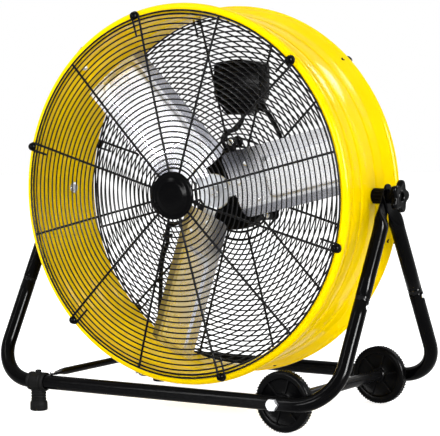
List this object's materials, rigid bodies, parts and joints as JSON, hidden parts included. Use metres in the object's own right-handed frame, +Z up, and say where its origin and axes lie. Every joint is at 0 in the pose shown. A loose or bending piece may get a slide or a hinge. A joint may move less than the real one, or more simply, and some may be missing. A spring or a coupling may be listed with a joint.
{
  "type": "drum fan",
  "caption": "Roll-about drum fan: a tilting steel drum with wire grilles and a bladed rotor, on a tube stand with wheels, feet and side locking knobs.",
  "frame": {"origin": "on the floor under the middle of the stand", "axes": "+Z up; the air leaves along -Y; the wheels are at the +X end and the feet at the -X end; the drum tilts about the X direction"},
  "size_m": [0.7458, 0.5804, 0.7217],
  "materials": {
    "drum_yellow": "gloss yellow powder coat",
    "stand_black": "gloss black powder coat",
    "wire_black": "semi-gloss black coated wire",
    "motor_black": "satin black paint",
    "blade_aluminium": "mill finish sheet",
    "bright_zinc": "bright zinc plate",
    "handle_grey": "satin grey paint",
    "plastic_black": "satin moulded plastic",
    "wheel_black": "satin moulded plastic with a grained tread",
    "foot_rubber": "matt rubber",
    "cord_black": "matt cord jacket",
    "plug_black": "soft moulded plastic with bright prongs"
  },
  "bodies": {
    "stand": {"front_base_tube": "stand_black", "rear_base_tube": "stand_black", "front_right_leg": "stand_black", "front_left_leg": "stand_black", "rear_right_leg": "stand_black", "rear_left_leg": "stand_black", "front_right_leg_screw": "bright_zinc", "front_left_leg_screw": "bright_zinc", "rear_right_leg_screw": "bright_zinc", "rear_left_leg_screw": "bright_zinc", "crossbar": "stand_black", "front_foot": "foot_rubber", "rear_foot": "foot_rubber", "axle_tube": "stand_black", "axle_rod": "bright_zinc", "axle_nut": "bright_zinc", "power_cord": "cord_black", "cord_coil": "cord_black", "cord_tie": "plastic_black", "power_plug": "plug_black"},
    "drum": {"drum_shell": "drum_yellow", "front_grille": "wire_black", "rear_grille": "wire_black", "hub_cap": "plastic_black", "motor_front_bell": "motor_black", "motor_housing": "motor_black", "control_box_base": "plastic_black", "control_box_lid": "plastic_black", "motor_lead": "cord_black", "cord_grommet": "cord_black", "fixed_cord": "cord_black", "cord_clip": "plastic_black", "drum_handle": "handle_grey", "right_pivot_spacer": "plastic_black", "left_pivot_spacer": "plastic_black", "right_pivot_bolt": "bright_zinc", "left_pivot_bolt": "bright_zinc", "front_grille_screw_1": "plastic_black", "rear_grille_screw_1": "plastic_black", "front_grille_screw_2": "plastic_black", "rear_grille_screw_2": "plastic_black", "front_grille_screw_3": "plastic_black", "rear_grille_screw_3": "plastic_black", "front_grille_screw_4": "plastic_black", "rear_grille_screw_4": "plastic_black", "front_grille_screw_5": "plastic_black", "rear_grille_screw_5": "plastic_black", "front_grille_screw_6": "plastic_black", "rear_grille_screw_6": "plastic_black"},
    "rotor": {"motor_shaft": "bright_zinc", "blade_spider": "bright_zinc", "hub_nut": "bright_zinc", "blade_1": "blade_aluminium", "blade_2": "blade_aluminium", "blade_3": "blade_aluminium"},
    "speed_knob": {"speed_knob": "plastic_black"},
    "right_star_knob": {"right_star_knob": "plastic_black"},
    "left_star_knob": {"left_star_knob": "plastic_black"},
    "front_wheel": {"front_wheel": "wheel_black"},
    "rear_wheel": {"rear_wheel": "wheel_black"}
  },
  "joints": [
    {"name": "drum_tilt", "type": "hinge", "parent": "stand", "child": "drum", "pos_m": [0, 0, 0.388], "axis": [1, 0, 0], "range_deg": [-90, 90], "deforming": ["power_cord"]},
    {"name": "rotor_spin", "type": "hinge", "parent": "drum", "child": "rotor", "pos_m": [0, 0, 0.388], "axis": [0, 1, 0], "continuous": true},
    {"name": "speed_knob_turn", "type": "hinge", "parent": "drum", "child": "speed_knob", "pos_m": [-0.004, 0.117, 0.588], "axis": [0, 1, 0], "range_deg": [0, 90]},
    {"name": "right_star_knob_turn", "type": "hinge", "parent": "drum", "child": "right_star_knob", "pos_m": [0.368, 0, 0.388], "axis": [1, 0, 0], "range_deg": [0, 720]},
    {"name": "left_star_knob_turn", "type": "hinge", "parent": "drum", "child": "left_star_knob", "pos_m": [-0.368, 0, 0.388], "axis": [-1, 0, 0], "range_deg": [0, 720]},
    {"name": "front_wheel_roll", "type": "hinge", "parent": "stand", "child": "front_wheel", "pos_m": [0.24, -0.1725, 0.052], "axis": [0, 1, 0], "continuous": true},
    {"name": "rear_wheel_roll", "type": "hinge", "parent": "stand", "child": "rear_wheel", "pos_m": [0.24, 0.1725, 0.052], "axis": [0, 1, 0], "continuous": true}
  ]
}
